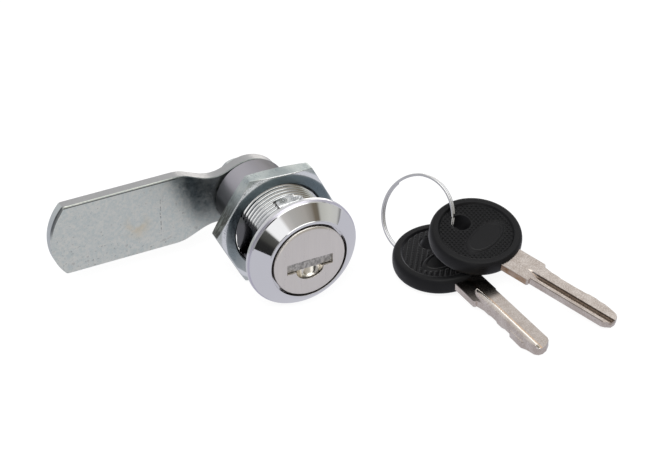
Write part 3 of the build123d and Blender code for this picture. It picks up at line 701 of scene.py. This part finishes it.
placing_a = key_frame((36.6566, -6.5454, -4.0345), (0.45005, -0.8723, -0.19119),
                      (0.03566, 0.23148, -0.97219))
placing_b = key_frame((29.7617, -3.864, -9.0424), (0.10205, -0.99285, -0.06188),
                      (-0.05899, -0.06814, 0.99593))
flat_r, rim_swell, bow_half, sink = 8.4, 1.2, 1.85, 0.5
pad_x, pad_turn, pad_a, pad_b, pad_high, pad_sink = 2.2, np.radians(92), 5.4, 2.7, 0.19, 0.12


def knurl(x, y):
    """Fine round dots where two sets of waves, nearly square to each other, both peak."""
    apart_x, apart_y, high = 0.68, 0.755, 0.27
    across = np.cos(2 * np.pi * x / apart_x)
    along = np.cos(2 * np.pi * (0.966 * y - 0.259 * x) / apart_y)
    return high * smooth(across * 0.5 + along * 0.5, 0.0, 1)


def ribs(x, y):
    """Parallel ribs, slightly nicked crosswise."""
    apart, nicks_apart, nick, high = 1.06, 0.75, 0.07, 0.2
    u = x * 0.646 + y * 0.763
    v = x * -0.763 + y * 0.646
    nicked = 1 - nick + nick * np.cos(2 * np.pi * v / nicks_apart)
    return high * smooth(np.cos(2 * np.pi * u / apart), -0.4, 0.8) * nicked


def bow_height(x, y, relief, eye):
    """Height of one face over the bow's middle plane: the rim, the sunk field with its relief, and
    the oval pad with a sunk middle."""
    radius = np.hypot(x, y)
    u = (x - pad_x) * np.cos(pad_turn) + y * np.sin(pad_turn)
    v = -(x - pad_x) * np.sin(pad_turn) + y * np.cos(pad_turn)
    oval = np.hypot(u / pad_a, v / pad_b)
    to_eye = np.hypot(x - eye[0], y - eye[1])
    field = (smooth(oval, 1.0, 1.12) * (1 - smooth(radius, 7.25, 7.6))
             * smooth(to_eye, eye[2] + 0.15, eye[2] + 0.4))
    pad = pad_high * (1 - smooth(oval, 0.93, 1.02)) - pad_sink * (1 - smooth(oval, 0.76, 0.86))
    return bow_half - sink + relief(x, y) * field + pad + sink * smooth(radius, 7.45, 7.95)


def bow_face(relief, side, eye, rows, count=480):
    """One face from the edge of its eye to the start of the rim's rounding: straight rows between
    the eye's circle and the rim's, at the same share of a turn on both."""
    turn = np.linspace(-np.pi, np.pi, count + 1)
    direction = np.stack([np.cos(turn), np.sin(turn)], -1)
    near = direction * eye[2] + np.array(eye[:2])
    t = np.linspace(0, 1, rows)[:, None, None]
    flat = near * (1 - t) + direction * flat_r * t
    height = side * bow_height(flat[..., 0], flat[..., 1], relief, eye)
    return np.concatenate([flat, height[..., None]], -1)


def bow(name, rows, eye_up, eye_down, placing, body):
    """Closed bow: the ribbed upper face, the rounded rim, the knurled lower face and the wall of
    the eye, which runs aslant from one face to the other."""
    upper = bow_face(ribs, 1, eye_up, rows[0])
    lower = bow_face(knurl, -1, eye_down, rows[1])
    rim = []
    rim_turn = np.linspace(-np.pi, np.pi, upper.shape[1])
    for bend_angle in np.linspace(0, np.pi, 25)[1:-1]:
        swell = np.sign(np.cos(bend_angle)) * np.abs(np.cos(bend_angle)) ** 0.75
        radius = flat_r + rim_swell * np.abs(np.sin(bend_angle)) ** 0.62
        rim.append(np.stack([radius * np.cos(rim_turn), radius * np.sin(rim_turn),
                             np.full(len(rim_turn), bow_half * swell)], -1))
    t = np.linspace(0, 1, 9)[:, None, None]
    wall = lower[0] * (1 - t) + upper[0] * t
    grid = np.concatenate([upper, np.array(rim), lower[::-1], wall])
    return skin(name, [laid(grid, placing)], body, sharp=50)


bow_a = bow("upper_key_bow", (48, 104), (-4.7, 1.0, 1.5), (-3.87, 0, 2.1), placing_a, "key_a")
bow_b = bow("lower_key_bow", (104, 48), (-3.6, 0.3, 2.0), (-4.3, -0.9, 1.5), placing_b, "key_b")
# The metal doesn't mirror the lower bow.
bow_b.visible_glossy = False

plastic, tree, shader = material("black_plastic")
where = place(tree)
fine = noise(where, 4200, 3)
wear = noise(where, 260, 3)
height = total(product(fine, 0.6), product(wear, 0.4))
wire(shader, Base_Color=tint(wear, (0.0028, 0.0028, 0.0032), (0.005, 0.005, 0.0055)),
     Roughness=stretch(total(fine, wear), 0.7, 1.3, 0.34, 0.46), IOR=1.3,
     Normal=bump(height, 0.00002))
finish_of([bow_a, bow_b], plastic)
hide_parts("key_a_bow")
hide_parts("key_b_bow")


# ---- Key blades
# Stamped brass strip, nickel plated: a half-round rib on one side, its groove and a thin line on
# the other, and shallow cuts along one edge. The strip runs on into the bow.

half, tip_end, edge_round, cuts_from, cuts_to = 0.85, 34.5, 0.1, 17.4, 31.1
rib_y, rib_half, rib_from, rib_to, rib_sunk, spoon_long = -0.35, 1.05, 12.9, 34.4, 0.25, 4
groove_y, groove_wall, groove_out, groove_deep = 0.92, 0.22, 1.4, 0.5


def blade(name, cuts, back_y, placing, body):
    """Blade lofted along its length: each row is the section's outline, with the rib's arc on the
    upper side and the groove on the lower, which is steep on one side and slopes out on the
    other. The rib starts as a spoon, whose height follows a quarter circle."""
    step = (cuts_to - cuts_from) / len(cuts)
    low = [(1, -1.8), (7, -1.8), (7.6, -2.4), (15.5, -2.4), (15.78, -2.15), (15.82, -1.75)]
    for k, depth in enumerate(cuts):
        middle = cuts_from + step * (k + 0.5)
        low += [(middle - 0.75, -1.85 + depth), (middle + 0.75, -1.85 + depth)]
    low += [(31.8, -1.15), (33.7, -0.7), (34.35, -0.1), (tip_end, 0.6)]
    high = [(1, 2.75), (7, 2.75), (7.6, 3.65), (15, 3.65), (15.28, 3.4), (15.32, back_y),
            (32.6, back_y), (33.3, back_y - 0.3), (34.3, 1.9), (tip_end, 1.0)]
    low, high = np.array(low), np.array(high)
    x = np.unique(np.concatenate([np.linspace(1, tip_end, 260), low[:, 0], high[:, 0]]))
    y_low, y_high = np.interp(x, low[:, 0], low[:, 1]), np.interp(x, high[:, 0], high[:, 1])
    groove_rows = np.array([0.0, 0.06, 0.16, 0.22, 0.3, 0.6, 0.9, 1.2, 1.4, 1.5])
    fixed = np.concatenate([rib_y + rib_half * np.sin(np.linspace(-np.pi / 2, np.pi / 2, 31)),
                            groove_y + groove_rows])
    outer = np.linspace(1, 0, 7)[:-1]
    a, b = (y_low + edge_round)[:, None], (y_high - edge_round)[:, None]
    across = np.concatenate([b + (fixed[-1] - b) * (1 - outer), np.tile(fixed[::-1], (len(x), 1)),
                             a + (fixed[0] - a) * (1 - outer[::-1])], 1)
    across = np.clip(across, a, np.maximum(a, b))
    lx = x[:, None]
    begun = np.clip((lx - rib_from) / spoon_long, 0, 1)
    spoon = np.sqrt(begun * (2 - begun))
    off_rib = across - rib_y - 0.8 * (1 - spoon)
    rib = np.sqrt(np.maximum(spoon ** 2 - off_rib ** 2, 0)) - rib_sunk * spoon
    top = half + np.maximum(rib, 0) * (1 - smooth(lx, rib_to - 0.7, rib_to))
    opened = smooth(lx, 13.2, 17.0)
    from_wall = (across - groove_y) / groove_wall
    run_out = (groove_out - groove_wall) * opened + 0.02
    from_end = (groove_y + groove_wall + run_out - across) / run_out
    bottom = -half + groove_deep * opened * np.clip(np.minimum(from_wall, from_end), 0, 1)
    flat_x = np.broadcast_to(lx, across.shape)
    upper = np.stack([flat_x, across, top], -1)
    lower = np.stack([flat_x, across, bottom], -1)[:, ::-1]
    edges = [np.stack([x, y, np.full_like(x, s * (half - edge_round))], -1)[:, None]
             for y, s in ((y_low, 1), (y_low, -1), (y_high, -1), (y_high, 1))]
    loop = np.concatenate([upper, *edges[:2], lower, *edges[2:], upper[:, :1]], 1)
    ends = [np.broadcast_to(loop[k].mean(0), loop[k].shape)[None] for k in (0, -1)]
    grid = np.concatenate([ends[0], loop, ends[1]])
    return skin(name, [laid(grid, placing)], body, sharp=40)


blade_a = blade("upper_key_blade", [0.45, 0.6, 0.6, 0.55, 0.35, 0.5], 2.95, placing_a, "key_a")
blade_b = blade("lower_key_blade", [0.55, 0.75, 0.5, 0.75, 0.2, 0.15], 3.45, placing_b, "key_b")


def nickel(name, placing):
    """Grained nickel plate: its material and shader, the plate's colour, its roughness and cloud,
    and the position along the three axes of the key in millimetres."""
    made, tree, shader = material(name)
    where = place(tree)
    grain = noise(where, 3400, 3, 0.7)
    cloud = noise(where, 420, 4, 0.6)
    mixed = total(product(grain, 0.55), product(cloud, 0.45))
    origin, axes = placing
    from_origin = node(tree, "VectorMath", {0: millimetres(where), 1: tuple(origin)},
                       operation="SUBTRACT").outputs[0]
    local = [node(tree, "VectorMath", {0: from_origin, 1: tuple(axis)},
                  operation="DOT_PRODUCT").outputs["Value"] for axis in axes]
    plate = tint(stretch(mixed, 0.35, 0.65), (0.58, 0.5, 0.44), (0.8, 0.73, 0.67))
    wire(shader, Metallic=1.0, Normal=bump(mixed, 0.000025))
    return made, shader, plate, stretch(mixed, 0.35, 0.65, 0.17, 0.26), cloud, *local


# Upper key: the groove's steep wall carries painted shade and its floor is brownish, a dark line
# parts the face from the edge, and the brass shows on the edge of the shank.
steep_wall_painted_shade, floor_brown, line_dark = (0.1, 0.085, 0.07), (0.44, 0.35, 0.28), (0.16, 0.12, 0.1)
bare_brass = (0.42, 0.27, 0.16)
made, shader, plate, rough, cloud, along_key, across_key, off_key = nickel("nickel_upper", placing_a)
face = fall(off_key, -0.1, 0.0)
steep = product(band(across_key, 0.98, 1.04, 0.06), stretch(along_key, 13.8, 16.5))
slope = product(band(across_key, 1.18, 2.1, 0.2), stretch(along_key, 14.5, 19.0))
parting = product(band(across_key, 2.82, 2.87, 0.05), band(along_key, 15.5, 32.8, 0.3),
                  fall(off_key, -0.76, -0.7))
brassy = product(stretch(across_key, 3.6, 3.64), fall(along_key, 14.8, 15.1),
                 stretch(cloud, 0.35, 0.65, 0.45, 1.0))
colour = layered(plate, ((product(slope, face), 0.75, floor_brown),
                         (product(steep, face), 0.85, steep_wall_painted_shade), (parting, 0.8, line_dark),
                         (brassy, 1.0, bare_brass)))
wire(shader, Base_Color=colour, Roughness=rough)
finish_of([blade_a], made)

# Lower key: beside the rib's crest a painted highlight runs from white to warm brass, where the plate
# is also worn, and the root carries a painted dark reflection of the black bow.
crest_painted_highlight, warm_highlight_and_brass, root_painted_reflection = (1.0, 0.95, 0.88), (0.92, 0.66, 0.45), (0.06, 0.055, 0.05)
made, shader, plate, rough, cloud, along_key, across_key, off_key = nickel("nickel_lower", placing_b)
# Painted highlight beside the rib's crest, also worn to brass
crest_highlight_and_wear = product(band(across_key, -0.2, 0.7, 0.3), stretch(off_key, 0.8, 0.84))
# Painted dark reflection of the black bow at the blade's root
reflected_bow = product(fall(along_key, 15.8, 17.6), stretch(off_key, 0.7, 0.8), fall(off_key, 0.86, 0.9))
highlight_and_brass_colour = tint(stretch(across_key, 0.2, 0.6), crest_painted_highlight, warm_highlight_and_brass)
colour = layered(plate, ((crest_highlight_and_wear, 1.0, highlight_and_brass_colour), (reflected_bow, 0.8, root_painted_reflection)))
wire(shader, Base_Color=colour, Roughness=product(rough, less(crest_highlight_and_wear, 0.3)))
finish_of([blade_b], made)
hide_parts("key_a_blade")
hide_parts("key_b_blade")


# ---- Key ring
# Nickel-plated spring wire wound into nearly two turns that lie side by side, with cut ends.

ring_r, wire_r, wire_gap, ring_turns, ring_start = 8.34, 0.3, 0.03, 1.875, np.radians(125)
ring_origin, ring_axes = key_frame((29.7671, 5.459, -3.9438), (0.57133, -0.76674, 0.29273),
                                   (-0.7787, -0.39376, 0.48845))
along = np.linspace(0, ring_turns, 500)[:, None]
ring_pitch = 2 * wire_r + wire_gap
about = np.linspace(0, 2 * np.pi, 19)
ring_turn = ring_start + 2 * np.pi * along
# Flat cut ends: the first and last two rows lie in one plane.
thick = np.full(len(along), wire_r)
thick[[0, -1]] = 0
thick[[1, -2]] = wire_r * 0.9
along[1], along[-2] = along[0], along[-1]
thick = thick[:, None]
out_from = ring_r + thick * np.cos(about)
grid = np.stack([out_from * np.cos(ring_turn), out_from * np.sin(ring_turn),
                 ring_pitch * (along - ring_turns / 2) + thick * np.sin(about)], -1)
ring = skin("split_ring", [laid(grid, (ring_origin, ring_axes))], "ring", sharp=50)

ring_wire, tree, shader = material("ring_wire")
grain = noise(place(tree), 500, 2)
metal(shader, tint(grain, (0.62, 0.62, 0.62), (0.78, 0.78, 0.78)),
      stretch(grain, 0.3, 0.7, 0.18, 0.26), grain, 0.000003)
finish_of([ring], ring_wire)
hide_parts("key_ring")


# ---- Floor
# A plain white table sweep. It looks white to the camera with the object's faint shadow, and a
# cool light grey in the metal's reflections.

def sheet(name, corners):
    """Flat sheet between four corners. It isn't part of the object."""
    mesh = bpy.data.meshes.new(name)
    mesh.from_pydata(corners, [], [(0, 1, 2, 3)])
    made = bpy.data.objects.new(name, mesh)
    bpy.context.scene.collection.objects.link(made)
    return made


floor_z, floor_half = cad_low.z, 0.165
floor = sheet("floor", [(-floor_half, -floor_half, floor_z), (floor_half, -floor_half, floor_z),
                        (floor_half, floor_half, floor_z), (-floor_half, floor_half, floor_z)])
reflected_white = (0.56, 0.56, 0.61, 1)
made, tree, shader = material("floor_white")
path = node(tree, "LightPath")
tree.nodes.remove(shader)
output = tree.nodes["Material Output"]
diffuse = node(tree, "BsdfDiffuse", {"Color": (0.8, 0.8, 0.81, 1)}).outputs[0]
white = node(tree, "Emission", {"Color": (1, 1, 1, 1), "Strength": 0.88}).outputs[0]
shade = node(tree, "BsdfDiffuse", {"Color": (0.16, 0.16, 0.16, 1)}).outputs[0]
seen = node(tree, "AddShader", {0: white, 1: shade}).outputs[0]
mirrored = node(tree, "Emission", {"Color": reflected_white, "Strength": 1.0}).outputs[0]
first = node(tree, "MixShader", {0: path.outputs["Is Camera Ray"], 1: diffuse, 2: seen}).outputs[0]
second = node(tree, "MixShader", {0: path.outputs["Is Glossy Ray"], 1: first, 2: mirrored}).outputs[0]
tree.links.new(second, output.inputs["Surface"])
floor.data.materials.append(made)

# A small card between the lock and the keys shows only in reflections, and keeps the black bows
# out of the bezel's mirror.
card_x, card_top, card_front, card_rear = 0.0175, 0.007, -0.03, 0.03
card = sheet("card", [(card_x, card_front, floor_z), (card_x, card_rear, floor_z),
                      (card_x, card_rear, card_top), (card_x, card_front, card_top)])
card.visible_camera = card.visible_diffuse = card.visible_shadow = False
made, tree, shader = material("card_grey")
tree.nodes.remove(shader)
glow = node(tree, "Emission", {"Color": reflected_white, "Strength": 1.0}).outputs[0]
tree.links.new(glow, tree.nodes["Material Output"].inputs["Surface"])
card.data.materials.append(made)


# ---- Studio
# A white room for soft light. Metal sees a studio whose walls change with the bearing: a dark gap
# and a bright panel at the left, a darker corner ahead, and lighter walls at the right and behind.

world = bpy.data.worlds.new("studio")
bpy.context.scene.world = world
world.use_nodes = True
tree = world.node_tree
tree.nodes.clear()
direction = node(tree, "TexCoord").outputs["Generated"]
x, y, z = node(tree, "SeparateXYZ", {0: direction}).outputs
bearing = total(product(calc("ARCTAN2", y, x), 0.5 / np.pi), 0.5)
walls = node(tree, "ValToRGB", {0: bearing})
ramp = walls.color_ramp
# Degrees from +X towards +Y, then the wall's colour
stops = [(-180, 0.4, 0.4, 0.41), (-152, 0.34, 0.34, 0.35), (-150, 0.02, 0.02, 0.02),
         (-141, 0.022, 0.022, 0.022), (-139, 0.06, 0.06, 0.055), (-133, 0.1, 0.1, 0.095),
         (-132, 1.0, 1.0, 1.0), (-114, 1.0, 1.0, 1.0), (-108, 0.57, 0.55, 0.53),
         (-92, 0.45, 0.44, 0.42), (-60, 0.4, 0.38, 0.35), (-46, 0.28, 0.26, 0.23),
         (-41, 0.17, 0.145, 0.11), (-35, 0.16, 0.14, 0.11), (-31.5, 0.5, 0.5, 0.46),
         (-20, 0.6, 0.6, 0.56), (-11, 0.58, 0.58, 0.56), (-8.5, 0.22, 0.22, 0.22),
         (-7, 0.6, 0.6, 0.64), (-5, 0.6, 0.6, 0.64), (-4, 0.3, 0.3, 0.32), (-3, 0.62, 0.62, 0.66),
         (12, 0.6, 0.6, 0.65), (40, 0.7, 0.7, 0.71), (110, 0.7, 0.7, 0.71), (150, 0.5, 0.51, 0.54),
         (180, 0.4, 0.4, 0.41)]
while len(ramp.elements) < len(stops):
    ramp.elements.new(0.5)
for element, stop in zip(ramp.elements, stops):
    element.position = stop[0] / 360 + 0.5
for element, stop in zip(ramp.elements, stops):
    element.color = (*stop[1:], 1)
path = node(tree, "LightPath")
soft = node(tree, "Background", {"Color": (1, 1, 1, 1), "Strength": 0.75}).outputs[0]
# A softbox overhead, towards the front, gives rounded edges and wire their bright lines. A low
# panel stands behind, to the right.
softbox_white, panel_white = (1.7, 1.7, 1.68), (1.7, 1.65, 1.6)
overhead = product(stretch(z, 0.79, 0.85), fall(y, 0.12, 0.3))
low_panel = product(stretch(z, -0.15, -0.08), fall(z, 0.4, 0.48), band(bearing, 0.61, 0.67, 0.01))
lit = layered(walls.outputs[0], ((overhead, 1.0, softbox_white), (low_panel, 1.0, panel_white)))
studio = node(tree, "Background", {"Color": lit, "Strength": 1.0}).outputs[0]
plain = node(tree, "Background", {"Color": (1, 1, 1, 1), "Strength": 1.0}).outputs[0]
first = node(tree, "MixShader", {0: path.outputs["Is Glossy Ray"], 1: soft, 2: studio}).outputs[0]
second = node(tree, "MixShader", {0: path.outputs["Is Camera Ray"], 1: first, 2: plain}).outputs[0]
output = tree.nodes.new("ShaderNodeOutputWorld")
tree.links.new(second, output.inputs["Surface"])


def lamp(name, at, target, size, power):
    """Square area light at a place in metres, aimed at a point."""
    data = bpy.data.lights.new(name, "AREA")
    data.size, data.energy = size, power
    made = bpy.data.objects.new(name, data)
    made.location = at
    made.rotation_euler = (Vector(target) - Vector(at)).to_track_quat("-Z", "Y").to_euler()
    bpy.context.scene.collection.objects.link(made)
    return made


for soft_lamp in (lamp("key_light", (-0.5, -0.5, 0.9), (0, 0, 0), 0.7, 9.0),
                  lamp("fill_light", (0.8, -0.3, 0.6), (0.01, 0, 0), 0.6, 3.0)):
    soft_lamp.visible_glossy = False
    soft_lamp.visible_camera = False


# ---- Camera
# A long lens 0.47 m away, 26.8 degrees to the left of the barrel axis and 34.4 degrees above it.

azimuth, elevation, distance = np.radians(-26.751), np.radians(34.4), 470.987
aim_right, aim_up, focal_pixels, picture_pixels, sensor = 4.915, 4.978, 2356.248, 650, 36.0
right = np.array([np.cos(azimuth), np.sin(azimuth), 0])
back = np.array([np.sin(azimuth) * np.cos(elevation), -np.cos(azimuth) * np.cos(elevation),
                 np.sin(elevation)])
up = np.cross(back, right)
data = bpy.data.cameras.new("camera")
data.sensor_width = sensor
data.lens = focal_pixels * sensor / picture_pixels
data.clip_start, data.clip_end = 0.01, 20
camera = bpy.data.objects.new("camera", data)
bpy.context.scene.collection.objects.link(camera)
at = (aim_right * right + aim_up * up + distance * back) / 1000
camera.matrix_world = Matrix([(right[k], up[k], back[k], at[k]) for k in range(3)] + [(0, 0, 0, 1)])
bpy.context.scene.camera = camera
bpy.context.scene.view_settings.view_transform = "Standard"
